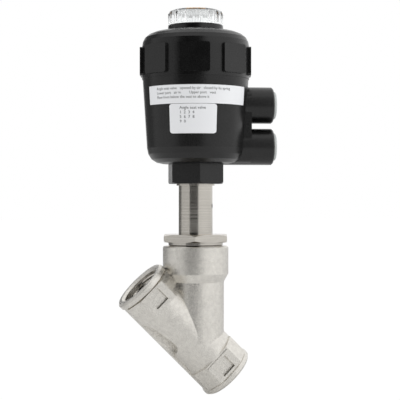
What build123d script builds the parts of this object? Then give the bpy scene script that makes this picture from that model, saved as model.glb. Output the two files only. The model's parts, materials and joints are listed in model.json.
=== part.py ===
"""Pneumatic angle seat valve, DN 20, with a 50 mm piston actuator.

The pipe axis and the stem axis cross in the middle of the valve body. Heights are given above that crossing,
along the upright stem. The origin is on the pipe axis just inside the inlet port's mouth, +Z is up along
the stem, and the pipe axis lies in the XZ plane. The inlet is the port under the seat.
"""
import os
from math import cos, radians, sin, sqrt

from build123d import *

os.makedirs("parts", exist_ok=True)

# ---------------------------------------------------------------- valve body
pipe_angle = 45.0            # pipe axis below the horizontal
inlet_length = 27.5          # inlet mouth to the crossing of the axes
outlet_length = 47.5         # outlet mouth to the crossing
origin_depth = 2.0           # origin, inside the inlet mouth
rim_radius = 16.8
rim_width = 4.2
port_tap_radius = 12.06      # G 3/4 tapping bore
port_thread_depth = 14.5
port_chamfer = 1.3
passage_radius = 10.4
barrel_radius = 16.0
keel_offset = 15.9           # keel's flat underside from the pipe axis
keel_half_width = 2.6
flats_height = 15.3          # eight-sided ends behind the rims: half height, half width and length
flats_reach = 15.9
flats_length = 12.6
pad_width = 16.7             # spanner pad, across the pipe
pad_length = 11.4            # spanner pad, along the pipe
pad_reach = 16.5             # spanner pad's flat from the middle plane
pocket_size = 8.6
pocket_depth = 2.2
neck_radius = 16.3
neck_top = 34.6
collar_radius = 18.9
collar_bottom = 39.3
collar_top = 55.1
chamber_radius = 13.0
seat_radius = 9.5
seat_width = 1.6
seat_lip = 1.0
partition = 2.8              # wall under the seat
bonnet_thread_radius = 15.2
gasket_seat = 40.0
gasket_thickness = 1.2

# ---------------------------------------------------------------- nipple, tube and stem packing
nipple_flats = 36.0
nipple_hex_bottom = 57.3
nipple_hex_height = 4.6
nipple_clocking = 13.3       # direction of a corner
tube_radius = 9.8
tube_bore = 7.0
tube_seat_depth = 7.9        # tube's seat in the nipple
telltale_radius = 1.25
telltale_height = 78.2
telltale_direction = -28.0
stem_radius = 4.0
running_gap = 0.05
packing_floor = 43.0
wiper_height = 1.8
packing_spring_height = 6.0
washer_height = 1.0
v_ring_height = 1.4
v_ring_count = 5
gland_height = 7.0
support_ring_radius = 11.0
support_ring_height = 1.0

# ---------------------------------------------------------------- actuator
port_direction = -10.0       # pilot ports, about the stem
foot_flats = 29.5
foot_clocking = 22.6         # direction of a corner
foot_bottom = 90.9
housing_bottom = 102.4
housing_floor = 6.0
housing_corner = 9.0
housing_foot_radius = 28.0
housing_top = 151.0
housing_top_radius = 30.5
cylinder_radius = 25.0
joint_lip_radius = 28.8      # housing's threaded lip inside the cover
joint_lip_height = 9.0
circlip_radius = 11.4
circlip_thickness = 1.0
boss_radius = 10.5
boss_reach = 44.6
boss_height_lower = 112.4
boss_spacing = 24.0
pilot_tap_radius = 5.72      # G 1/4 tapping bore
pilot_thread_depth = 12.0
pilot_passage_radius = 2.0
plug_head_radius = 7.9
plug_head_height = 1.8
plug_shank_length = 8.0
cover_radius = 30.9
cover_wall = 3.0
cover_pad_flat = 31.8
cover_pad_width = 16.8
cover_pad_bottom = 152.9
cover_pad_height = 16.2
cover_pad_count = 8
cover_pad_round = 1.2
cover_clocking = -16.7
dome_top = 179.4
neck_ring_radius = 15.9
neck_ring_top = 182.0
cap_thread_radius = 12.6
cap_height = 8.6
cap_wall = 1.4
cap_rib_count = 16
spring_seat = 171.0
web_thickness = 3.0
rod_radius = 4.0

# ---------------------------------------------------------------- piston and plug
piston_bottom = 115.0
piston_height = 8.0
piston_gap = 0.07
spindle_radius = 3.0
piston_nut_flats = 10.0
piston_nut_height = 5.0
spring_radius = 17.6
spring_wire = 3.4
spring_turns = 6.5
disc_radius = 11.8
disc_height = 2.5
carrier_height = 2.6
hub_radius = 6.5
hub_height = 9.0
retainer_radius = 8.4
retainer_height = 2.0
plug_nut_flats = 7.0
plug_nut_height = 3.0
pin_radius = 1.0
indicator_radius = 8.0
indicator_height = 3.2

# ---------------------------------------------------------------- planes worked out from the sizes
pipe_up = Vector(-cos(radians(pipe_angle)), 0, sin(radians(pipe_angle)))
inlet_mouth = -origin_depth * pipe_up
crossing = inlet_mouth + inlet_length * pipe_up
stem_axis = Axis(crossing, (0, 0, 1))
pipe_axis = Axis((0, 0, 0), pipe_up)
pipe_across = Vector(sin(radians(pipe_angle)), 0, cos(radians(pipe_angle)))
port_heights = [boss_height_lower, boss_height_lower + boss_spacing]


def stem_plane(height, turn=0.0):
    """Horizontal plane at a height above the crossing, turned about the stem."""
    level = Plane(origin=crossing + Vector(0, 0, height))
    return level.rotated((0, 0, turn))


def stem_section(turn=0.0):
    """Upright plane through the stem: x is the radius, y the height above the crossing."""
    along = Vector(cos(radians(turn)), sin(radians(turn)), 0)
    return Plane(origin=crossing, x_dir=along, z_dir=along.cross(Vector(0, 0, 1)))


def pipe_section():
    """Plane through the pipe axis: x is the radius towards the neck, y the distance from the inlet mouth."""
    return Plane(origin=inlet_mouth, x_dir=pipe_across, z_dir=pipe_across.cross(pipe_up))


def pipe_plane(distance):
    """Plane square to the pipe axis, at a distance upwards from the crossing; x points to the neck side."""
    return Plane(origin=crossing + distance * pipe_up, x_dir=pipe_across, z_dir=pipe_up)


def boss_plane(height, reach):
    """Plane square to a pilot port's axis, at a reach from the stem."""
    out = Vector(cos(radians(port_direction)), sin(radians(port_direction)), 0)
    return Plane(origin=crossing + reach * out + Vector(0, 0, height), x_dir=(0, 0, 1), z_dir=out)


def save(piece, name):
    piece.part.label = name
    export_step(piece.part, f"parts/{name}.step")


def turned(points, name, plane=None, axis=stem_axis):
    """A turned piece: the closed outline of radius and height, revolved."""
    with BuildPart() as piece:
        with BuildSketch(plane or stem_section()):
            with BuildLine():
                Polyline(*points, close=True)
            make_face()
        revolve(axis=axis)
    save(piece, name)
    return piece


def ring(inner, outer, bottom, height, name):
    """A plain turned ring."""
    return turned([(inner, bottom), (outer, bottom), (outer, bottom + height), (inner, bottom + height)], name)


# ================================================================ valve body
# Underside of the casting beside the keel: distance from the crossing (up the pipe), depth under the pipe axis.
underside = [
    (34.0, 16.6), (29.5, 14.6), (26.5, 13.4), (22.0, 12.3), (16.0, 11.5), (9.5, 11.0),
    (7.2, 11.9), (5.4, 13.9), (-1.0, 14.6), (-9.0, 15.0), (-16.0, 16.6),
]
passage_rise = 1.9           # outlet passage's middle, above the pipe axis
passage_end = 9.5            # where it opens into the chamber, from the crossing
chamber_floor = -seat_lip
duct_top = chamber_floor - partition
rim_outlines = {
    "outlet": (inlet_length + outlet_length, -1.0),
    "inlet": (0.0, 1.0),
}

with BuildPart() as duct:
    with BuildSketch(Plane(origin=inlet_mouth + port_thread_depth * pipe_up, x_dir=pipe_across, z_dir=pipe_up)):
        Circle(passage_radius)
    extrude(amount=inlet_length + 2.6 - port_thread_depth)
    with BuildSketch(stem_plane(duct_top)):
        Circle(4 * neck_radius)
    extrude(amount=4 * neck_radius, mode=Mode.SUBTRACT)

with BuildPart() as body:
    with BuildSketch(pipe_plane(rim_width - inlet_length)):
        Circle(barrel_radius)
    extrude(amount=inlet_length + outlet_length - 2 * rim_width)
    # wavy underside, following the passage from under the seat to over it
    for side in (-1, 1):
        keel_side = crossing + Vector(0, side * keel_half_width, 0)
        with BuildSketch(Plane(origin=keel_side, x_dir=pipe_up, z_dir=(0, side, 0))):
            with BuildLine():
                turn_over = -side    # the plane's y points under the pipe on the -Y side only
                wave = [(distance, turn_over * depth) for distance, depth in underside]
                Spline(*wave)
                Line(wave[0], wave[-1])
            make_face()
        extrude(amount=barrel_radius, mode=Mode.SUBTRACT)
    # rims at both mouths, with rounded outer edges
    for mouth, inward in rim_outlines.values():
        with BuildSketch(pipe_section()):
            with BuildLine():
                Polyline(
                    (0, mouth),
                    (rim_radius - 1.2, mouth),
                    (rim_radius, mouth + inward * 1.2),
                    (rim_radius, mouth + inward * (rim_width - 0.8)),
                    (rim_radius - 0.8, mouth + inward * rim_width),
                    (0, mouth + inward * rim_width),
                    close=True,
                )
            make_face()
        revolve(axis=pipe_axis)
    # neck, taper and collar
    with BuildSketch(stem_section()):
        with BuildLine():
            Polyline(
                (0, 0),
                (neck_radius, 0),
                (neck_radius, neck_top),
                (collar_radius, collar_bottom),
                (collar_radius, collar_top - 0.6),
                (collar_radius - 0.6, collar_top),
                (0, collar_top),
                close=True,
            )
        make_face()
    revolve(axis=stem_axis)
    # straight thin keel under the pipe, from rim to rim
    keel_ends = [inlet_mouth + 1.5 * pipe_up, inlet_mouth + (inlet_length + outlet_length - 1.5) * pipe_up]
    low_side = -keel_offset * pipe_across
    with BuildSketch(Plane.XZ):
        with BuildLine():
            keel_corners = [keel_ends[0], keel_ends[1], keel_ends[1] + low_side, keel_ends[0] + low_side]
            Polyline(*[(point.X, point.Z) for point in keel_corners], close=True)
        make_face()
    extrude(amount=keel_half_width, both=True)
    # eight-sided ends behind the rims
    flat_starts = [outlet_length - rim_width - flats_length, rim_width - inlet_length]
    half_pad = pad_width / 2
    for start in flat_starts:
        with BuildSketch(pipe_plane(start)):
            with BuildLine():
                quarter = [(flats_height, flats_reach - 7.6), (half_pad, flats_reach)]
                Polyline(
                    *quarter,
                    *[(-x, y) for x, y in reversed(quarter)],
                    *[(-x, -y) for x, y in quarter],
                    *[(x, -y) for x, y in reversed(quarter)],
                    close=True,
                )
            make_face()
        extrude(amount=flats_length)
    # spanner pads on both sides of both ends
    pad_middles = [
        outlet_length - rim_width - pad_length / 2,
        rim_width + pad_length / 2 - inlet_length,
    ]
    for middle in pad_middles:
        with BuildSketch(Plane(origin=crossing + middle * pipe_up, x_dir=pipe_across, z_dir=(0, -1, 0))):
            RectangleRounded(pad_width, pad_length, 0.8)
        extrude(amount=pad_reach, both=True)
    # pockets in the pads
    for middle in pad_middles:
        for side in (-1, 1):
            face = Plane(
                origin=crossing + middle * pipe_up + Vector(0, side * pad_reach, 0),
                x_dir=pipe_across,
                z_dir=(0, side, 0),
            )
            with BuildSketch(face):
                Rectangle(pocket_size, pocket_size)
            extrude(amount=-pocket_depth, taper=8, mode=Mode.SUBTRACT)
    # chamber over the seat, gasket seat and bonnet thread
    with BuildSketch(stem_section()):
        with BuildLine():
            Polyline(
                (0, chamber_floor),
                (chamber_radius, chamber_floor),
                (chamber_radius, gasket_seat),
                (bonnet_thread_radius, gasket_seat),
                (bonnet_thread_radius, collar_top - 1.0),
                (bonnet_thread_radius + 1.0, collar_top),
                (0, collar_top),
                close=True,
            )
        make_face()
    revolve(axis=stem_axis, mode=Mode.SUBTRACT)
    # outlet passage
    with BuildSketch(pipe_plane(outlet_length - port_thread_depth)):
        with Locations((passage_rise, 0)):
            Circle(passage_radius)
    extrude(amount=passage_end - outlet_length + port_thread_depth, mode=Mode.SUBTRACT)
    # raised seat lip, and the bore through it
    with BuildSketch(stem_plane(chamber_floor)):
        Circle(seat_radius + seat_width)
    extrude(amount=seat_lip)
    with BuildSketch(stem_plane(0)):
        Circle(seat_radius)
    extrude(amount=duct_top - 1.5, mode=Mode.SUBTRACT)
    # threaded ports
    for mouth, inward in rim_outlines.values():
        with BuildSketch(pipe_section()):
            with BuildLine():
                Polyline(
                    (0, mouth),
                    (port_tap_radius + port_chamfer, mouth),
                    (port_tap_radius, mouth + inward * port_chamfer),
                    (port_tap_radius, mouth + inward * port_thread_depth),
                    (0, mouth + inward * port_thread_depth),
                    close=True,
                )
            make_face()
        revolve(axis=pipe_axis, mode=Mode.SUBTRACT)
    # duct from the inlet thread to the bore under the seat, below the partition
    add(duct.part, mode=Mode.SUBTRACT)
save(body, "valve_body")

ring(chamber_radius + 0.2, bonnet_thread_radius, gasket_seat, gasket_thickness, "body_gasket")

# ================================================================ nipple, tube and packing
nipple_hex_top = nipple_hex_bottom + nipple_hex_height
nipple_corner = nipple_flats / sqrt(3)
nipple_chamfer = 1.1
tube_bottom = nipple_hex_top - tube_seat_depth
tube_top = 107.4
tube_neck = 65.8             # end of the packing bore
bush_seat = 96.0
circlip_seat = 104.8

with BuildPart() as nipple:
    with BuildSketch(stem_plane(nipple_hex_bottom, nipple_clocking)):
        RegularPolygon(radius=nipple_corner, side_count=6)
    extrude(amount=nipple_hex_height)
    # corners turned off at both ends
    with BuildSketch(stem_section()):
        with BuildLine():
            Polyline(
                (0, nipple_hex_bottom),
                (nipple_corner - 2.4, nipple_hex_bottom),
                (nipple_corner, nipple_hex_bottom + nipple_chamfer),
                (nipple_corner, nipple_hex_top - nipple_chamfer),
                (nipple_corner - 2.4, nipple_hex_top),
                (0, nipple_hex_top),
                close=True,
            )
        make_face()
    revolve(axis=stem_axis, mode=Mode.INTERSECT)
    # threaded shank under it
    with BuildSketch(stem_section()):
        with BuildLine():
            Polyline(
                (0, gasket_seat + gasket_thickness),
                (bonnet_thread_radius, gasket_seat + gasket_thickness),
                (bonnet_thread_radius, collar_top - 1.0),
                (bonnet_thread_radius, collar_top + 0.3),
                (bonnet_thread_radius + 0.5, collar_top + 0.8),
                (bonnet_thread_radius + 0.5, nipple_hex_bottom),
                (0, nipple_hex_bottom),
                close=True,
            )
        make_face()
    revolve(axis=stem_axis)
    # stem hole, packing bore and the tube's seat
    with BuildSketch(stem_section()):
        with BuildLine():
            Polyline(
                (0, gasket_seat),
                (stem_radius + 0.5, gasket_seat),
                (stem_radius + 0.5, packing_floor),
                (tube_bore, packing_floor),
                (tube_bore, tube_bottom),
                (tube_radius, tube_bottom),
                (tube_radius, nipple_hex_top),
                (0, nipple_hex_top),
                close=True,
            )
        make_face()
    revolve(axis=stem_axis, mode=Mode.SUBTRACT)
save(nipple, "bonnet_nipple")

with BuildPart() as tube:
    with BuildSketch(stem_section()):
        with BuildLine():
            Polyline(
                (tube_bore, tube_bottom),
                (tube_radius, tube_bottom),
                (tube_radius, circlip_seat),
                (tube_radius - 0.7, circlip_seat),
                (tube_radius - 0.7, circlip_seat + circlip_thickness),
                (tube_radius, circlip_seat + circlip_thickness),
                (tube_radius, tube_top - 0.5),
                (tube_radius - 0.5, tube_top),
                (tube_bore, tube_top),
                (tube_bore, bush_seat),
                (tube_bore - 1.0, bush_seat),
                (tube_bore - 1.0, tube_neck),
                (tube_bore, tube_neck),
                close=True,
            )
        make_face()
    revolve(axis=stem_axis)
    # small hole that shows when the packing leaks
    with BuildSketch(stem_section(telltale_direction + 90)):
        with Locations((0, telltale_height)):
            Circle(telltale_radius)
    extrude(amount=2 * tube_radius, mode=Mode.SUBTRACT)
save(tube, "actuator_tube")

ring(tube_radius, support_ring_radius, foot_bottom - support_ring_height, support_ring_height, "support_ring")
ring(tube_radius - 0.7, circlip_radius, circlip_seat, circlip_thickness, "tube_circlip")

stem_fit = stem_radius + running_gap
wiper_top = packing_floor + wiper_height
spring_top = wiper_top + packing_spring_height
rings_bottom = spring_top + washer_height
gland_bottom = rings_bottom + v_ring_count * v_ring_height
ring(stem_fit, tube_bore, packing_floor, wiper_height, "stem_wiper")
ring(stem_fit + 0.4, tube_bore, spring_top, washer_height, "packing_washer")
ring(stem_fit, tube_bore, gland_bottom, tube_neck - gland_bottom, "gland_bush")
ring(stem_fit, tube_bore, bush_seat, 6.6, "upper_stem_bush")
ring(stem_fit, tube_bore, bush_seat + 6.6, 2.8, "upper_stem_seal")
ring(stem_fit + 0.8, tube_bore, bush_seat + 9.4, 1.0, "bush_retainer")

# stack of V-shaped packing rings, from one turned outline
groove = 0.35
ring_edges = []
for number in range(v_ring_count):
    bottom = rings_bottom + number * v_ring_height
    top = bottom + v_ring_height
    ring_edges += [(tube_bore, bottom + groove), (tube_bore, top), (tube_bore - groove, top)]
turned(
    [(stem_fit, rings_bottom), (tube_bore - groove, rings_bottom), *ring_edges[:-1], (stem_fit, gland_bottom)],
    "packing_rings",
)


def coil(radius, wire, bottom, height, turns, name, sides=8):
    """A compression spring with its ends ground flat."""
    with BuildPart() as spring:
        pitch = (height - wire) / turns
        with BuildLine():
            wound = Helix(
                pitch=pitch,
                height=height - wire * 0.5,
                radius=radius,
                center=tuple(crossing + Vector(0, 0, bottom + wire * 0.25)),
            )
        with BuildSketch(Plane(origin=wound @ 0, x_dir=(0, 0, 1), z_dir=wound % 0)):
            RegularPolygon(radius=wire / 2, side_count=sides)
        sweep(path=wound, is_frenet=True)
        for level, way in ((bottom, -1), (bottom + height, 1)):
            with BuildSketch(stem_plane(level)):
                Circle(radius + 3 * wire)
            extrude(amount=way * 2 * wire, mode=Mode.SUBTRACT)
    save(spring, name)


coil((stem_fit + tube_bore) / 2, 1.2, wiper_top, packing_spring_height, 2.5, "packing_spring", 6)

# ================================================================ actuator housing
floor_top = housing_bottom + housing_floor
joint_lip_top = housing_top + joint_lip_height
pilot_bottom = boss_reach - pilot_thread_depth
insert_radius = 8.1

with BuildPart() as housing:
    with BuildSketch(stem_plane(foot_bottom, foot_clocking)):
        RegularPolygon(radius=foot_flats / sqrt(3), side_count=6)
    extrude(amount=housing_bottom - foot_bottom + 1)
    with BuildSketch(stem_section()):
        with BuildLine():
            Polyline(
                (0, foot_bottom),
                (foot_flats / sqrt(3) - 1.4, foot_bottom),
                (foot_flats / sqrt(3), foot_bottom + 0.9),
                (foot_flats / sqrt(3), housing_bottom + 1),
                (0, housing_bottom + 1),
                close=True,
            )
        make_face()
    revolve(axis=stem_axis, mode=Mode.INTERSECT)
    # rounded, slightly tapered barrel
    taper_radius = housing_foot_radius
    with BuildSketch(stem_section()):
        with BuildLine():
            Polyline(
                (0, housing_bottom),
                (taper_radius - housing_corner, housing_bottom),
                (taper_radius - 0.62 * housing_corner, housing_bottom + 0.08 * housing_corner),
                (taper_radius - 0.29 * housing_corner, housing_bottom + 0.29 * housing_corner),
                (taper_radius - 0.08 * housing_corner, housing_bottom + 0.62 * housing_corner),
                (taper_radius, housing_bottom + housing_corner),
                (housing_top_radius, housing_top),
                (joint_lip_radius, housing_top),
                (joint_lip_radius, joint_lip_top),
                (0, joint_lip_top),
                close=True,
            )
        make_face()
    revolve(axis=stem_axis)
    # pilot port bosses and the pad they stand on
    for height in port_heights:
        with BuildSketch(boss_plane(height, 10)):
            Circle(boss_radius)
        extrude(amount=boss_reach - 10 - 0.8)
        with BuildSketch(boss_plane(height, boss_reach - 0.8)):
            Circle(boss_radius)
        extrude(amount=0.8, taper=40)
    with BuildSketch(boss_plane(boss_height_lower + boss_spacing / 2, 10)):
        RectangleRounded(boss_spacing + 2 * boss_radius - 2, 2 * boss_radius - 2, 6)
    extrude(amount=21.4)
    # cylinder
    with BuildSketch(stem_plane(floor_top)):
        Circle(cylinder_radius)
    extrude(amount=joint_lip_top - floor_top, mode=Mode.SUBTRACT)
    # recess for the circlip, and the bore round the tube
    with BuildSketch(stem_plane(circlip_seat)):
        Circle(circlip_radius + 1.0)
    extrude(amount=floor_top - circlip_seat, mode=Mode.SUBTRACT)
    with BuildSketch(stem_section()):
        with BuildLine():
            Polyline(
                (0, foot_bottom),
                (tube_radius + running_gap, foot_bottom),
                (tube_radius + running_gap, foot_bottom + 3.4),
                (tube_radius + 1.6, foot_bottom + 3.4),
                (tube_radius + 1.6, foot_bottom + 5.4),
                (tube_radius + running_gap, foot_bottom + 5.4),
                (tube_radius + running_gap, circlip_seat),
                (0, circlip_seat),
                close=True,
            )
        make_face()
    revolve(axis=stem_axis, mode=Mode.SUBTRACT)
    # pilot ports: seat for the threaded insert and the passage into the cylinder
    for height in port_heights:
        with BuildSketch(boss_plane(height, boss_reach)):
            Circle(insert_radius)
        extrude(amount=-pilot_thread_depth, mode=Mode.SUBTRACT)
        with BuildSketch(boss_plane(height, pilot_bottom)):
            Circle(pilot_passage_radius)
        extrude(amount=-(pilot_bottom - cylinder_radius + 2), mode=Mode.SUBTRACT)
save(housing, "actuator_housing")
ring(tube_radius + running_gap, tube_radius + 1.6, foot_bottom + 3.4, 2.0, "foot_seal")

for height, name in zip(port_heights, ("lower", "upper")):
    with BuildPart() as insert:
        with BuildSketch(boss_plane(height, boss_reach)):
            Circle(insert_radius)
            Circle(pilot_tap_radius, mode=Mode.SUBTRACT)
        extrude(amount=-pilot_thread_depth)
    save(insert, f"{name}_port_insert")
    with BuildPart() as plug:
        with BuildSketch(boss_plane(height, boss_reach)):
            Circle(plug_head_radius)
        extrude(amount=plug_head_height - 0.5)
        with BuildSketch(boss_plane(height, boss_reach + plug_head_height - 0.5)):
            Circle(plug_head_radius)
        extrude(amount=0.5, taper=45)
        with BuildSketch(boss_plane(height, boss_reach)):
            Circle(pilot_tap_radius - running_gap)
        extrude(amount=-plug_shank_length)
        # hollow from the inner end
        with BuildSketch(boss_plane(height, boss_reach - plug_shank_length)):
            Circle(pilot_tap_radius - 1.5)
        extrude(amount=plug_shank_length - 0.4, mode=Mode.SUBTRACT)
    save(plug, f"{name}_port_plug")

# ================================================================ actuator cover
inner_shoulder = joint_lip_top + 1.2
web_bottom = spring_seat + 2.0
web_top = web_bottom + web_thickness
recess_radius = 9.4
skirt_bottom = neck_ring_top - 3.2
cap_seal_depth = 0.8
dome_rim = 176.6
dome_points = [
    (cover_radius, housing_top),
    (cover_radius, dome_rim - 7.0),
    (cover_radius - 0.5, dome_rim - 4.2),
    (cover_radius - 1.7, dome_rim - 1.9),
    (cover_radius - 3.9, dome_rim - 0.1),
    (cover_radius - 6.8, dome_rim + 1.1),
    (neck_ring_radius, dome_top),
]

with BuildPart() as cover:
    with BuildSketch(stem_section()):
        with BuildLine():
            Polyline(
                (0, housing_top),
                *dome_points,
                (neck_ring_radius, neck_ring_top - 0.4),
                (neck_ring_radius - 0.4, neck_ring_top),
                (0, neck_ring_top),
                close=True,
            )
        make_face()
    revolve(axis=stem_axis)
    # grip pads round the cylinder
    for number in range(cover_pad_count):
        turn = cover_clocking + number * 360 / cover_pad_count - 90
        out = Vector(cos(radians(turn)), sin(radians(turn)), 0)
        middle = crossing + 28.0 * out + Vector(0, 0, cover_pad_bottom + cover_pad_height / 2)
        with BuildSketch(Plane(origin=middle, x_dir=(0, 0, 1), z_dir=out)):
            RectangleRounded(cover_pad_height, cover_pad_width, cover_pad_round)
        extrude(amount=cover_pad_flat - 28.0)
    # hollow: thread round the housing's lip, spring space and spring seat
    with BuildSketch(stem_section()):
        with BuildLine():
            Polyline(
                (0, housing_top),
                (joint_lip_radius, housing_top),
                (joint_lip_radius, inner_shoulder),
                (cover_radius - cover_wall, inner_shoulder),
                (cover_radius - cover_wall, dome_rim - 6.0),
                (cover_radius - cover_wall - 3.2, dome_rim - 2.6),
                (spring_radius + 3.0, dome_rim - 2.0),
                (spring_radius + 3.0, spring_seat),
                (spring_radius - 3.0, spring_seat),
                (spring_radius - 3.0, web_bottom),
                (0, web_bottom),
                close=True,
            )
        make_face()
    revolve(axis=stem_axis, mode=Mode.SUBTRACT)
    # recess for the indicator, the cap's thread and the rod's hole
    with BuildSketch(stem_section()):
        with BuildLine():
            Polyline(
                (0, web_bottom - 1),
                (rod_radius + 2.4, web_bottom - 1),
                (rod_radius + 2.4, web_bottom + 1.6),
                (rod_radius + running_gap, web_bottom + 1.6),
                (rod_radius + running_gap, web_top),
                (recess_radius, web_top),
                (recess_radius, skirt_bottom - 0.2),
                (cap_thread_radius, skirt_bottom - 0.2),
                (cap_thread_radius, neck_ring_top - cap_seal_depth),
                (cap_thread_radius + 1.8, neck_ring_top - cap_seal_depth),
                (cap_thread_radius + 1.8, neck_ring_top),
                (0, neck_ring_top),
                close=True,
            )
        make_face()
    revolve(axis=stem_axis, mode=Mode.SUBTRACT)
save(cover, "actuator_cover")
ring(cylinder_radius + 0.6, joint_lip_radius - 0.8, joint_lip_top, 1.2, "housing_seal")
ring(rod_radius + running_gap, rod_radius + 2.4, web_bottom, 1.6, "rod_seal")
cap_seal_bottom = neck_ring_top - cap_seal_depth
ring(cap_thread_radius + 0.1, cap_thread_radius + 1.72, cap_seal_bottom, cap_seal_depth, "cap_seal")

# clear cap over the indicator
cap_radius = neck_ring_radius
cap_top = neck_ring_top + cap_height
with BuildPart() as cap:
    with BuildSketch(stem_section()):
        with BuildLine():
            Polyline(
                (0, neck_ring_top),
                (cap_radius, neck_ring_top),
                (cap_radius, cap_top - 2.2),
                (cap_radius - 0.7, cap_top - 0.7),
                (cap_radius - 2.2, cap_top),
                (0, cap_top),
                close=True,
            )
        make_face()
    revolve(axis=stem_axis)
    # flutes between the grip ribs
    for number in range(cap_rib_count):
        turn = (number + 0.5) * 360 / cap_rib_count
        with BuildSketch(stem_plane(neck_ring_top + 1.2)):
            with PolarLocations(cap_radius + 0.9, 1, start_angle=turn):
                Circle(1.6)
        extrude(amount=cap_height, mode=Mode.SUBTRACT)
    with BuildSketch(stem_plane(skirt_bottom)):
        Circle(cap_thread_radius - running_gap)
    extrude(amount=neck_ring_top - skirt_bottom)
    with BuildSketch(stem_plane(skirt_bottom)):
        Circle(cap_thread_radius - cap_wall - 0.6)
    extrude(amount=cap_top - cap_wall - skirt_bottom, mode=Mode.SUBTRACT)
save(cap, "clear_cap")

# ================================================================ piston and what it carries
piston_top = piston_bottom + piston_height
hub_top = piston_top + 3.0
nut_bottom = hub_top + 1.0
nut_top = nut_bottom + piston_nut_height
piston_radius = cylinder_radius - piston_gap
turned(
    [
        (spindle_radius, piston_bottom),
        (piston_radius - 0.8, piston_bottom),
        (piston_radius, piston_bottom + 0.8),
        (piston_radius, piston_bottom + 1.4),
        (piston_radius - 3.0, piston_bottom + 1.4),
        (piston_radius - 3.0, piston_bottom + 4.2),
        (piston_radius, piston_bottom + 4.2),
        (piston_radius, piston_bottom + 5.2),
        (piston_radius - 1.4, piston_bottom + 5.2),
        (piston_radius - 1.4, piston_bottom + 7.2),
        (piston_radius, piston_bottom + 7.2),
        (piston_radius, piston_top),
        (spring_radius - spring_wire / 2 - 0.5, piston_top),
        (spring_radius - spring_wire / 2 - 0.5, hub_top),
        (spindle_radius, hub_top),
    ],
    "piston",
)
ring(piston_radius - 3.0, cylinder_radius - 0.05, piston_bottom + 1.4, 2.8, "piston_lip_seal")
ring(piston_radius - 1.4, cylinder_radius - 0.05, piston_bottom + 5.2, 2.0, "piston_guide_ring")
ring(spindle_radius, 6.2, hub_top, 1.0, "piston_washer")

with BuildPart() as piston_nut:
    with BuildSketch(stem_plane(nut_bottom)):
        RegularPolygon(radius=piston_nut_flats / sqrt(3), side_count=6)
        Circle(spindle_radius, mode=Mode.SUBTRACT)
    extrude(amount=piston_nut_height)
save(piston_nut, "piston_nut")

coil(spring_radius, spring_wire, piston_top, spring_seat - piston_top, spring_turns, "return_spring")

# stem: pinned in the plug's hub below, shouldered under the piston above
carrier_top = disc_height + carrier_height
hub_end = carrier_top + hub_height
pin_height = carrier_top + 5.4
stem_end = carrier_top + 1.6
spindle_top = nut_top + 10.0
with BuildPart() as stem:
    with BuildSketch(stem_section()):
        with BuildLine():
            Polyline(
                (0, stem_end),
                (stem_radius - 0.8, stem_end),
                (stem_radius, stem_end + 0.8),
                (stem_radius, piston_bottom),
                (spindle_radius, piston_bottom),
                (spindle_radius, spindle_top),
                (0, spindle_top),
                close=True,
            )
        make_face()
    revolve(axis=stem_axis)
    with BuildSketch(Plane(origin=crossing + Vector(0, 0, pin_height), x_dir=(1, 0, 0), z_dir=(0, -1, 0))):
        Circle(pin_radius + 0.1)
    extrude(amount=2 * stem_radius, both=True, mode=Mode.SUBTRACT)
save(stem, "stem")

with BuildPart() as pin:
    with BuildSketch(Plane(origin=crossing + Vector(0, 0, pin_height), x_dir=(1, 0, 0), z_dir=(0, -1, 0))):
        Circle(pin_radius)
    extrude(amount=hub_radius - 0.4, both=True)
save(pin, "swivel_pin")

stud_radius = 2.0
nut_height = plug_nut_height
with BuildPart() as carrier:
    with BuildSketch(stem_section()):
        with BuildLine():
            Polyline(
                (0, -retainer_height - nut_height - 0.8),
                (stud_radius, -retainer_height - nut_height - 0.8),
                (stud_radius, disc_height),
                (disc_radius + 0.5, disc_height),
                (disc_radius + 0.5, carrier_top - 0.8),
                (disc_radius - 0.3, carrier_top),
                (hub_radius, carrier_top),
                (hub_radius, hub_end - 0.8),
                (hub_radius - 0.8, hub_end),
                (stem_radius + 0.12, hub_end),
                (stem_radius + 0.12, stem_end - 0.3),
                (0, stem_end - 0.3),
                close=True,
            )
        make_face()
    revolve(axis=stem_axis)
    with BuildSketch(Plane(origin=crossing + Vector(0, 0, pin_height), x_dir=(1, 0, 0), z_dir=(0, -1, 0))):
        Circle(pin_radius)
    extrude(amount=2 * hub_radius, both=True, mode=Mode.SUBTRACT)
save(carrier, "plug_carrier")

ring(stud_radius, disc_radius, 0.0, disc_height, "seat_disc")
ring(stud_radius, retainer_radius, -retainer_height, retainer_height, "disc_retainer")
with BuildPart() as plug_nut:
    with BuildSketch(stem_plane(-retainer_height - nut_height)):
        RegularPolygon(radius=plug_nut_flats / sqrt(3), side_count=6)
        Circle(stud_radius, mode=Mode.SUBTRACT)
    extrude(amount=nut_height)
save(plug_nut, "disc_nut")

# indicator rod on the spindle's end, and the indicator it carries
indicator_bottom = web_top + 0.6
turned(
    [
        (spindle_radius, nut_top),
        (rod_radius, nut_top),
        (rod_radius, indicator_bottom),
        (1.8, indicator_bottom),
        (1.8, indicator_bottom + indicator_height - 1.0),
        (0, indicator_bottom + indicator_height - 1.0),
        (0, spindle_top),
        (spindle_radius, spindle_top),
    ],
    "indicator_rod",
)
turned(
    [
        (0, indicator_bottom + indicator_height - 1.0),
        (1.8, indicator_bottom + indicator_height - 1.0),
        (1.8, indicator_bottom),
        (indicator_radius, indicator_bottom),
        (indicator_radius, indicator_bottom + indicator_height - 0.6),
        (indicator_radius - 0.6, indicator_bottom + indicator_height),
        (0, indicator_bottom + indicator_height),
    ],
    "indicator",
)
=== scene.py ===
import bpy
import bmesh
import json
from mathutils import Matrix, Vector
from math import cos, degrees, radians, sin, sqrt


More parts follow.
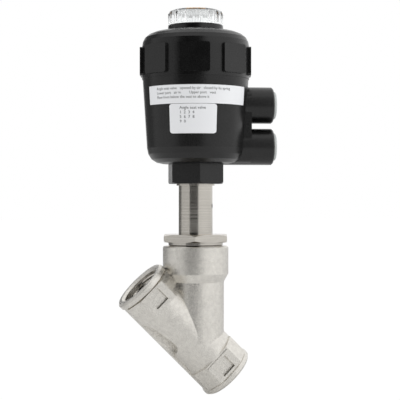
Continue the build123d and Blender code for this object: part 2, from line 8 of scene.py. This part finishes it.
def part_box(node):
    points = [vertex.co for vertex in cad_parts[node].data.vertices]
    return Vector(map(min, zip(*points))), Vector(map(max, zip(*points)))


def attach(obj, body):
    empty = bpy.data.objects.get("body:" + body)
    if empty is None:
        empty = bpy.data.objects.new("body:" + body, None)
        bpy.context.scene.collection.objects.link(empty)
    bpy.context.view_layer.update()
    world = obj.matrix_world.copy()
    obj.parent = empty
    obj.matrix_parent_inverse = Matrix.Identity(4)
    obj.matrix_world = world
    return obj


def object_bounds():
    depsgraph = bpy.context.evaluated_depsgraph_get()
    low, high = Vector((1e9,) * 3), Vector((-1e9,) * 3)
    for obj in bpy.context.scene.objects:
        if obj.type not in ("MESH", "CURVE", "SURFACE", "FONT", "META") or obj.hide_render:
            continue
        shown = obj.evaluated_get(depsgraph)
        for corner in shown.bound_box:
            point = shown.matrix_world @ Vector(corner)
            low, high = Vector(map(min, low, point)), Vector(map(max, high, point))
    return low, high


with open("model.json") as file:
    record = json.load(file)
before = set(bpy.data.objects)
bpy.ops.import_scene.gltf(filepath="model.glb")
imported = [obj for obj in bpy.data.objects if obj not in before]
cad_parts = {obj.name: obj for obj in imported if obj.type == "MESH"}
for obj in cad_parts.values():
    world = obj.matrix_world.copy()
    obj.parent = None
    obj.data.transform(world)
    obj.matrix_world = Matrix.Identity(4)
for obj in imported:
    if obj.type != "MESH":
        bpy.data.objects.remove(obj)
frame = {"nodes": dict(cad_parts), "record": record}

sizeBefore = [list(corner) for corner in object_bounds()]
nodes = frame["nodes"]
mm = 0.001


def boxOf(name):
    low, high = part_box(name)
    return [float(v) for v in low], [float(v) for v in high]


tubeLow, tubeHigh = boxOf("actuator_tube")
stemX = (tubeLow[0] + tubeHigh[0]) / 2 # the stem's own upright axis
housingHigh = boxOf("actuator_housing")[1]
coverLow = boxOf("actuator_cover")[0]
print("frame read")


# ---- shader helpers
def newMaterial(name):
    made = bpy.data.materials.new(name)
    made.use_nodes = True
    made.node_tree.nodes.clear()
    return made


def addNode(tree, kind, place=(0, 0), **settings):
    node = tree.nodes.new(kind)
    node.location = place
    for key, value in settings.items():
        setattr(node, key, value)
    return node


def startGroup(name, inputs, outputs):
    group = bpy.data.node_groups.new(name, "ShaderNodeTree")
    for socketName, socketType, value in inputs:
        socket = group.interface.new_socket(name=socketName, in_out="INPUT", socket_type=socketType)
        if value is not None:
            socket.default_value = value
    for socketName, socketType in outputs:
        group.interface.new_socket(name=socketName, in_out="OUTPUT", socket_type=socketType)
    return group


def fineGrainGroup(): # sandy surface left by bead blasting or by a moulding tool
    group = startGroup(
        "Fine grain",
        [
            ("Scale", "NodeSocketFloat", 2500.0),
            ("Coarse Scale", "NodeSocketFloat", 320.0),
            ("Depth", "NodeSocketFloat", 0.2),
        ],
        [("Normal", "NodeSocketVector"), ("Speckle", "NodeSocketFloat"), ("Cloud", "NodeSocketFloat")],
    )
    ends = addNode(group, "NodeGroupInput", (-900, 0))
    out = addNode(group, "NodeGroupOutput", (500, 0))
    coords = addNode(group, "ShaderNodeTexCoord", (-900, -200))
    fine = addNode(group, "ShaderNodeTexNoise", (-600, 150))
    fine.inputs["Detail"].default_value = 3
    coarse = addNode(group, "ShaderNodeTexNoise", (-600, -150))
    coarse.inputs["Detail"].default_value = 4
    mixed = addNode(group, "ShaderNodeMath", (-300, 0), operation="MULTIPLY_ADD")
    mixed.inputs[1].default_value = 0.35
    bump = addNode(group, "ShaderNodeBump", (100, 100))
    bump.inputs["Distance"].default_value = 0.0004
    link = group.links.new
    link(coords.outputs["Object"], fine.inputs["Vector"])
    link(coords.outputs["Object"], coarse.inputs["Vector"])
    link(ends.outputs["Scale"], fine.inputs["Scale"])
    link(ends.outputs["Coarse Scale"], coarse.inputs["Scale"])
    link(coarse.outputs["Fac"], mixed.inputs[0])
    link(fine.outputs["Fac"], mixed.inputs[2])
    link(mixed.outputs[0], bump.inputs["Height"])
    link(ends.outputs["Depth"], bump.inputs["Strength"])
    link(bump.outputs["Normal"], out.inputs["Normal"])
    link(fine.outputs["Fac"], out.inputs["Speckle"])
    link(coarse.outputs["Fac"], out.inputs["Cloud"])
    return group


def turnedMarksGroup(): # fine rings round the stem, left by a lathe tool
    group = startGroup(
        "Turned marks",
        [("Rings per Metre", "NodeSocketFloat", 2600.0), ("Depth", "NodeSocketFloat", 0.15)],
        [("Normal", "NodeSocketVector"), ("Streak", "NodeSocketFloat")],
    )
    ends = addNode(group, "NodeGroupInput", (-1100, 0))
    out = addNode(group, "NodeGroupOutput", (500, 0))
    coords = addNode(group, "ShaderNodeTexCoord", (-1100, -200))
    split = addNode(group, "ShaderNodeSeparateXYZ", (-900, -200))
    joined = addNode(group, "ShaderNodeCombineXYZ", (-500, -100))
    scaled = addNode(group, "ShaderNodeMath", (-700, -100), operation="MULTIPLY")
    noise = addNode(group, "ShaderNodeTexNoise", (-300, 0))
    noise.inputs["Scale"].default_value = 1.0
    noise.inputs["Detail"].default_value = 2
    bump = addNode(group, "ShaderNodeBump", (100, 100))
    bump.inputs["Distance"].default_value = 0.0002
    link = group.links.new
    link(coords.outputs["Object"], split.inputs[0])
    link(split.outputs["Z"], scaled.inputs[0])
    link(ends.outputs["Rings per Metre"], scaled.inputs[1])
    link(scaled.outputs[0], joined.inputs["Z"])
    link(joined.outputs[0], noise.inputs["Vector"])
    link(noise.outputs["Fac"], bump.inputs["Height"])
    link(ends.outputs["Depth"], bump.inputs["Strength"])
    link(bump.outputs["Normal"], out.inputs["Normal"])
    link(noise.outputs["Fac"], out.inputs["Streak"])
    return group


fineGrain = fineGrainGroup()
turnedMarks = turnedMarksGroup()


def spread(tree, source, low, high, place): # turns a mask into a range of values
    node = addNode(tree, "ShaderNodeMapRange", place)
    node.inputs["From Min"].default_value = 0.3
    node.inputs["From Max"].default_value = 0.7
    node.inputs["To Min"].default_value = low
    node.inputs["To Max"].default_value = high
    tree.links.new(source, node.inputs["Value"])
    return node.outputs["Result"]


def tint(tree, mask, dark, light, place):
    ramp = addNode(tree, "ShaderNodeValToRGB", place)
    ramp.color_ramp.elements[0].position = 0.3
    ramp.color_ramp.elements[0].color = (*dark, 1)
    ramp.color_ramp.elements[1].position = 0.7
    ramp.color_ramp.elements[1].color = (*light, 1)
    tree.links.new(mask, ramp.inputs["Fac"])
    return ramp.outputs["Color"]


def grainyMaterial(name, look):
    made = newMaterial(name)
    tree = made.node_tree
    out = addNode(tree, "ShaderNodeOutputMaterial", (600, 0))
    shader = addNode(tree, "ShaderNodeBsdfPrincipled", (300, 0))
    grain = addNode(tree, "ShaderNodeGroup", (-400, 0), node_tree=fineGrain)
    grain.inputs["Scale"].default_value = look["grainScale"]
    grain.inputs["Coarse Scale"].default_value = look["cloudScale"]
    grain.inputs["Depth"].default_value = look["grainDepth"]
    shader.inputs["Metallic"].default_value = look["metallic"]
    color = tint(tree, grain.outputs["Cloud"], look["dark"], look["light"], (0, 200))
    roughness = spread(tree, grain.outputs["Speckle"], *look["roughness"], (0, -100))
    tree.links.new(color, shader.inputs["Base Color"])
    tree.links.new(roughness, shader.inputs["Roughness"])
    tree.links.new(grain.outputs["Normal"], shader.inputs["Normal"])
    tree.links.new(shader.outputs[0], out.inputs["Surface"])
    return made


def turnedMaterial(name, look):
    made = newMaterial(name)
    tree = made.node_tree
    out = addNode(tree, "ShaderNodeOutputMaterial", (600, 0))
    shader = addNode(tree, "ShaderNodeBsdfPrincipled", (300, 0))
    marks = addNode(tree, "ShaderNodeGroup", (-400, 0), node_tree=turnedMarks)
    marks.inputs["Rings per Metre"].default_value = look["ringsPerMetre"]
    marks.inputs["Depth"].default_value = look["markDepth"]
    shader.inputs["Metallic"].default_value = 1.0
    color = tint(tree, marks.outputs["Streak"], look["dark"], look["light"], (0, 200))
    roughness = spread(tree, marks.outputs["Streak"], *look["roughness"], (0, -100))
    tree.links.new(color, shader.inputs["Base Color"])
    tree.links.new(roughness, shader.inputs["Roughness"])
    tree.links.new(marks.outputs["Normal"], shader.inputs["Normal"])
    tree.links.new(shader.outputs[0], out.inputs["Surface"])
    return made


def plainMaterial(name, look):
    made = newMaterial(name)
    tree = made.node_tree
    out = addNode(tree, "ShaderNodeOutputMaterial", (300, 0))
    shader = addNode(tree, "ShaderNodeBsdfPrincipled", (0, 0))
    shader.inputs["Base Color"].default_value = (*look["color"], 1)
    shader.inputs["Roughness"].default_value = look["roughness"]
    shader.inputs["Metallic"].default_value = look.get("metallic", 0.0)
    shader.inputs["Transmission Weight"].default_value = look.get("clear", 0.0)
    shader.inputs["IOR"].default_value = look.get("ior", 1.5)
    tree.links.new(shader.outputs[0], out.inputs["Surface"])
    return made


castSteelLook = {
    "grainScale": 2600.0,
    "cloudScale": 420.0,
    "grainDepth": 0.35,
    "metallic": 1.0,
    "dark": (0.70, 0.675, 0.63),
    "light": (0.81, 0.785, 0.73),
    "roughness": (0.20, 0.33),
}
turnedSteelLook = {
    "ringsPerMetre": 2600.0,
    "markDepth": 0.25,
    "dark": (0.50, 0.47, 0.43),
    "light": (0.70, 0.67, 0.61),
    "roughness": (0.12, 0.24),
}
blackPlasticLook = {
    "grainScale": 3200.0,
    "cloudScale": 90.0,
    "grainDepth": 0.10,
    "metallic": 0.0,
    "dark": (0.003, 0.003, 0.003),
    "light": (0.006, 0.006, 0.006),
    "roughness": (0.22, 0.32),
}
plainLooks = {
    "clear_plastic": {"color": (0.97, 0.98, 0.98), "roughness": 0.04, "clear": 1.0, "ior": 1.49},
    "plug_plastic": {"color": (0.62, 0.65, 0.64), "roughness": 0.40},
    "indicator_plastic": {"color": (0.86, 0.42, 0.05), "roughness": 0.35},
    "seal_white": {"color": (0.80, 0.80, 0.78), "roughness": 0.50},
    "bearing_plastic": {"color": (0.50, 0.44, 0.34), "roughness": 0.50},
    "rubber": {"color": (0.02, 0.02, 0.02), "roughness": 0.70},
    "brass": {"color": (0.78, 0.58, 0.26), "roughness": 0.30, "metallic": 1.0},
    "spring_steel": {"color": (0.42, 0.42, 0.42), "roughness": 0.35, "metallic": 1.0},
    "piston_metal": {"color": (0.75, 0.75, 0.76), "roughness": 0.35, "metallic": 1.0},
}
finishes = {
    "cast_steel": grainyMaterial("Blasted cast steel", castSteelLook),
    "turned_steel": turnedMaterial("Turned steel", turnedSteelLook),
    "black_plastic": grainyMaterial("Black moulded plastic", blackPlasticLook),
}
for slotName, look in plainLooks.items():
    finishes[slotName] = plainMaterial(slotName.replace("_", " ").capitalize(), look)
for part in frame["record"]["subparts"]:
    piece = nodes[part["node"]]
    piece.data.materials.clear()
    piece.data.materials.append(finishes[part["material_slot"]])
print("finishes on")

# ---- labels wrapped round the housing
labelMaterial = plainMaterial("White label film", {"color": (0.90, 0.91, 0.93), "roughness": 0.45})
viewAngle = -106.0 # the way the labels' middle faces, about the stem
housingTopRadius = 30.5 * mm
housingFootRadius = 28.0 * mm
housingTop = coverLow[2]
housingFoot = housingHigh[2] - 49.0 * mm # where the taper starts over the rounded foot


def housingRadiusAt(height):
    share = (height - housingFoot) / (housingTop - housingFoot)
    return housingFootRadius + share * (housingTopRadius - housingFootRadius)


def wrappedPlate(name, look, material):
    columns, rows = look["columns"], look["rows"]
    corner = look["corner"]
    points, faces = [], []
    for row in range(rows + 1):
        height = look["bottom"] + (look["top"] - look["bottom"]) * row / rows
        radius = housingRadiusAt(height) + look["proud"]
        toEdge = min(height - look["bottom"], look["top"] - height)
        past = max(0, corner - toEdge) # how far into the rounded corner this row lies
        inset = degrees((corner - sqrt(corner ** 2 - past ** 2)) / radius)
        rowStart, rowEnd = look["start"] + inset, look["end"] - inset
        for column in range(columns + 1):
            angle = radians(rowStart + (rowEnd - rowStart) * column / columns)
            points.append((stemX + radius * cos(angle), radius * sin(angle), height))
    for row in range(rows):
        for column in range(columns):
            first = row * (columns + 1) + column
            faces.append((first, first + 1, first + columns + 2, first + columns + 1))
    mesh = bpy.data.meshes.new(name)
    mesh.from_pydata(points, [], faces)
    for face in mesh.polygons:
        face.use_smooth = True
    made = bpy.data.objects.new(name, mesh)
    bpy.context.scene.collection.objects.link(made)
    mesh.materials.append(material)
    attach(made, "actuator")
    return made


inkMaterial = plainMaterial("Label print", {"color": (0.03, 0.03, 0.03), "roughness": 0.55})


def wrappedWords(name, words, look): # flat lettering bent round the housing
    curve = bpy.data.curves.new(name, "FONT")
    curve.body = words
    curve.size = look["letter"]
    curve.resolution_u = 2
    curve.space_line = look.get("lineSpace", 1.0)
    flat = bpy.data.objects.new(name + "_flat", curve)
    mesh = bpy.data.meshes.new_from_object(flat)
    bpy.data.objects.remove(flat)
    for vertex in mesh.vertices:
        height = look["top"] + vertex.co.y
        radius = housingRadiusAt(height) + look["proud"]
        angle = radians(look["start"]) + vertex.co.x / radius
        vertex.co = (stemX + radius * cos(angle), radius * sin(angle), height)
    made = bpy.data.objects.new(name, mesh)
    bpy.context.scene.collection.objects.link(made)
    mesh.materials.clear()
    mesh.materials.append(inkMaterial)
    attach(made, "actuator")
    return made


stripLook = {
    "columns": 48,
    "rows": 20,
    "corner": 0.3 * mm,
    "start": viewAngle - 60.0,
    "end": viewAngle + 66.0,
    "bottom": housingTop - 15.8 * mm,
    "top": housingTop - 5.4 * mm,
    "proud": 0.10 * mm,
    "words": [
        "Angle seat valve   opened by air   closed by its spring",
        "Lower port   air in        Upper port   vent",
        "Flow from below the seat to above it",
    ],
}
plateLook = {
    "columns": 24,
    "rows": 40,
    "corner": 1.5 * mm,
    "start": viewAngle - 29.7,
    "end": viewAngle + 23.8,
    "bottom": housingTop - 32.4 * mm,
    "top": housingTop - 16.0 * mm,
    "proud": 0.12 * mm,
    "words": ["Angle seat valve", "1  2  3  4", "5  6  7  8", "9  0"],
}
wrappedPlate("strip_label", stripLook, labelMaterial)
wrappedPlate("size_plate", plateLook, labelMaterial)
wrappedWords("strip_words", "\n".join(stripLook["words"]), {
    "letter": 2.1 * mm,
    "lineSpace": 1.15,
    "start": stripLook["start"] + 14,
    "top": stripLook["top"] - 2.6 * mm,
    "proud": 0.14 * mm,
})
wrappedWords("plate_words", "\n".join(plateLook["words"]), {
    "letter": 2.3 * mm,
    "lineSpace": 1.1,
    "start": plateLook["start"] + 12,
    "top": plateLook["top"] - 2.9 * mm,
    "proud": 0.16 * mm,
})
print("labels on")

# ---- screw threads in the two pipe ports, shown as a helical ridge that stands in from the tapping bore
portThreadLook = {
    "pitch": 1.814 * mm, # G 3/4
    "ridge": 0.40 * mm, # how far the ridge stands in from the bore
    "root": 0.06 * mm, # how far its foot is sunk in the wall
    "leadIn": 0.4 * mm, # from the start of the round wall
    "stepsPerTurn": 64,
    "foot": (0.08, 0.92), # where the ridge's foot starts and ends, in shares of the pitch
    "crest": 0.5,
}


def portThread(name, mount, look):
    start, axis = Vector(mount["pos_m"]), Vector(mount["axis"])
    inward = -axis.normalized()
    across = Vector((0, 1, 0))
    upward = inward.cross(across)
    bore = mount["dims"]["r_mm"] * mm
    length = mount["dims"]["length_mm"] * mm - 2 * look["leadIn"]
    steps = int(look["stepsPerTurn"] * (length / look["pitch"] - 1))
    section = [
        (bore + look["root"], look["foot"][0] * look["pitch"]),
        (bore - look["ridge"], look["crest"] * look["pitch"]),
        (bore + look["root"], look["foot"][1] * look["pitch"]),
    ]
    points, faces = [], []
    for step in range(steps + 1):
        angle = radians(360 * step / look["stepsPerTurn"])
        outward = across * cos(angle) + upward * sin(angle)
        advance = look["leadIn"] + look["pitch"] * step / look["stepsPerTurn"]
        for radius, shift in section:
            points.append(start + inward * (advance + shift) + outward * radius)
    for step in range(steps):
        for side in range(3):
            here, after = 3 * step + side, 3 * step + (side + 1) % 3
            faces.append((here, after, after + 3, here + 3))
    faces.append((2, 1, 0))
    faces.append((3 * steps, 3 * steps + 1, 3 * steps + 2))
    mesh = bpy.data.meshes.new(name)
    mesh.from_pydata(points, [], faces)
    mesh.validate()
    tidy = bmesh.new()
    tidy.from_mesh(mesh)
    bmesh.ops.recalc_face_normals(tidy, faces=tidy.faces)
    tidy.to_mesh(mesh)
    tidy.free()
    made = bpy.data.objects.new(name, mesh)
    bpy.context.scene.collection.objects.link(made)
    mesh.materials.append(finishes["turned_steel"])
    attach(made, "body")
    return made


for mount in frame["record"]["mounts"]:
    portThread(mount["name"] + "_thread", mount, portThreadLook)
print("port threads on")

# ---- studio
cameraLook = {
    "azimuth": -16.0,
    "distance": 701.6 * mm,
    "height": tubeHigh[2] - 25.8 * mm,
    "lens": 109.4,
    "shiftX": 0.011,
}
camera = bpy.data.cameras.new("Camera")
camera.lens = cameraLook["lens"]
camera.sensor_width = 36.0
camera.shift_x = cameraLook["shiftX"]
cameraObject = bpy.data.objects.new("Camera", camera)
turn = radians(cameraLook["azimuth"])
cameraObject.location = (
    stemX + sin(turn) * cameraLook["distance"],
    -cos(turn) * cameraLook["distance"],
    cameraLook["height"],
)
cameraObject.rotation_euler = (radians(90), 0, turn)
bpy.context.scene.collection.objects.link(cameraObject)
bpy.context.scene.camera = cameraObject


def areaLamp(name, look):
    lamp = bpy.data.lights.new(name, "AREA")
    lamp.shape = "RECTANGLE"
    lamp.size, lamp.size_y = look["size"]
    lamp.energy = look["power"]
    lampObject = bpy.data.objects.new(name, lamp)
    lampObject.visible_glossy = False # the cards and the white room are what shines in the steel
    aim = radians(look["azimuth"])
    place = (stemX + sin(aim) * look["distance"], -cos(aim) * look["distance"], look["height"])
    lampObject.location = place
    bpy.context.scene.collection.objects.link(lampObject)
    target = bpy.data.objects["Lamp target"]
    track = lampObject.constraints.new("TRACK_TO")
    track.target = target
    track.track_axis = "TRACK_NEGATIVE_Z"
    track.up_axis = "UP_Y"
    return lampObject


targetEmpty = bpy.data.objects.new("Lamp target", None)
targetEmpty.location = (stemX, 0, 90 * mm)
bpy.context.scene.collection.objects.link(targetEmpty)
lampLooks = {
    "Left softbox": {"azimuth": -85, "distance": 0.9, "height": 0.35, "size": (0.4, 0.8), "power": 1.2},
    "Right softbox": {"azimuth": 55, "distance": 0.9, "height": 0.30, "size": (0.5, 0.9), "power": 3.0},
    "Top softbox": {"azimuth": 0, "distance": 0.3, "height": 1.0, "size": (0.6, 0.6), "power": 1.0},
}
for lampName, look in lampLooks.items():
    areaLamp(lampName, look)

world = bpy.data.worlds.new("Studio")
bpy.context.scene.world = world
world.use_nodes = True
worldTree = world.node_tree
worldTree.nodes.clear()
worldOut = addNode(worldTree, "ShaderNodeOutputWorld", (600, 0))
seen = addNode(worldTree, "ShaderNodeBackground", (0, 150))
seen.inputs["Color"].default_value = (1, 1, 1, 1)
lit = addNode(worldTree, "ShaderNodeBackground", (0, -50))
lit.inputs["Color"].default_value = (1, 1, 1, 1)
lit.inputs["Strength"].default_value = 0.62
rays = addNode(worldTree, "ShaderNodeLightPath", (-600, 300))
either = addNode(worldTree, "ShaderNodeMath", (-300, 300), operation="MAXIMUM")
worldMix = addNode(worldTree, "ShaderNodeMixShader", (300, 0))
worldTree.links.new(rays.outputs["Is Camera Ray"], either.inputs[0])
worldTree.links.new(rays.outputs["Is Transmission Ray"], either.inputs[1])
anyWhite = addNode(worldTree, "ShaderNodeMath", (-100, 300), operation="MAXIMUM")
worldTree.links.new(either.outputs[0], anyWhite.inputs[0])
worldTree.links.new(rays.outputs["Is Glossy Ray"], anyWhite.inputs[1])
worldTree.links.new(anyWhite.outputs[0], worldMix.inputs["Fac"])
worldTree.links.new(lit.outputs[0], worldMix.inputs[1])
worldTree.links.new(seen.outputs[0], worldMix.inputs[2])
worldTree.links.new(worldMix.outputs[0], worldOut.inputs["Surface"])

floorMaterial = newMaterial("Pale floor")
floorTree = floorMaterial.node_tree
floorOut = addNode(floorTree, "ShaderNodeOutputMaterial", (600, 0))
floorShader = addNode(floorTree, "ShaderNodeBsdfDiffuse", (0, 0))
floorShader.inputs["Color"].default_value = (0.9, 0.9, 0.9, 1)
floorGlow = addNode(floorTree, "ShaderNodeEmission", (0, -150))
floorGlow.inputs["Color"].default_value = (1, 1, 1, 1)
floorGlow.inputs["Strength"].default_value = 1.03
floorRays = addNode(floorTree, "ShaderNodeLightPath", (-300, 200))
floorShare = addNode(floorTree, "ShaderNodeMath", (-100, 200), operation="MULTIPLY")
floorShare.inputs[1].default_value = 0.96
floorMix = addNode(floorTree, "ShaderNodeMixShader", (300, 0))
floorTree.links.new(floorRays.outputs["Is Camera Ray"], floorShare.inputs[0])
floorTree.links.new(floorShare.outputs[0], floorMix.inputs["Fac"])
floorTree.links.new(floorShader.outputs[0], floorMix.inputs[1])
floorTree.links.new(floorGlow.outputs[0], floorMix.inputs[2])
floorTree.links.new(floorMix.outputs[0], floorOut.inputs["Surface"])
floorMesh = bpy.data.meshes.new("floor")
floorHalf = 6.0
floorLevel = sizeBefore[0][2] - 2 * mm
floorMesh.from_pydata(
    [(-floorHalf, -floorHalf, floorLevel), (floorHalf, -floorHalf, floorLevel),
     (floorHalf, floorHalf, floorLevel), (-floorHalf, floorHalf, floorLevel)],
    [], [(0, 1, 2, 3)],
)
floorMesh.materials.append(floorMaterial)
floorObject = bpy.data.objects.new("floor", floorMesh)
bpy.context.scene.collection.objects.link(floorObject)
# cards that only mirror-like surfaces see, for the bands along the tube and the neck
cardLooks = {
    "Dark card": {"from": -42, "to": 18, "distance": 1.3, "shade": 0.02},
    "Grey card": {"from": -112, "to": -46, "distance": 1.3, "shade": 0.60},
    "Dim card": {"from": -160, "to": -112, "distance": 1.3, "shade": 0.16},
}
for cardName, look in cardLooks.items():
    cardMaterial = newMaterial(cardName)
    cardTree = cardMaterial.node_tree
    cardGlow = addNode(cardTree, "ShaderNodeEmission", (0, 0))
    cardGlow.inputs["Color"].default_value = (1, 1, 1, 1)
    cardGlow.inputs["Strength"].default_value = look["shade"]
    cardOut = addNode(cardTree, "ShaderNodeOutputMaterial", (200, 0))
    cardTree.links.new(cardGlow.outputs[0], cardOut.inputs["Surface"])
    corners = []
    for azimuth in (look["from"], look["to"]):
        aim = radians(cameraLook["azimuth"] + azimuth)
        for height in (floorLevel, 1.6):
            corners.append((stemX + sin(aim) * look["distance"], -cos(aim) * look["distance"], height))
    cardMesh = bpy.data.meshes.new(cardName)
    cardMesh.from_pydata(corners, [], [(0, 1, 3, 2)])
    cardMesh.materials.append(cardMaterial)
    card = bpy.data.objects.new(cardName, cardMesh)
    bpy.context.scene.collection.objects.link(card)
    card.visible_camera = False
    card.visible_diffuse = False
    card.visible_shadow = False
    card.visible_transmission = False
bpy.context.scene.view_settings.view_transform = "Standard"
print("studio set")
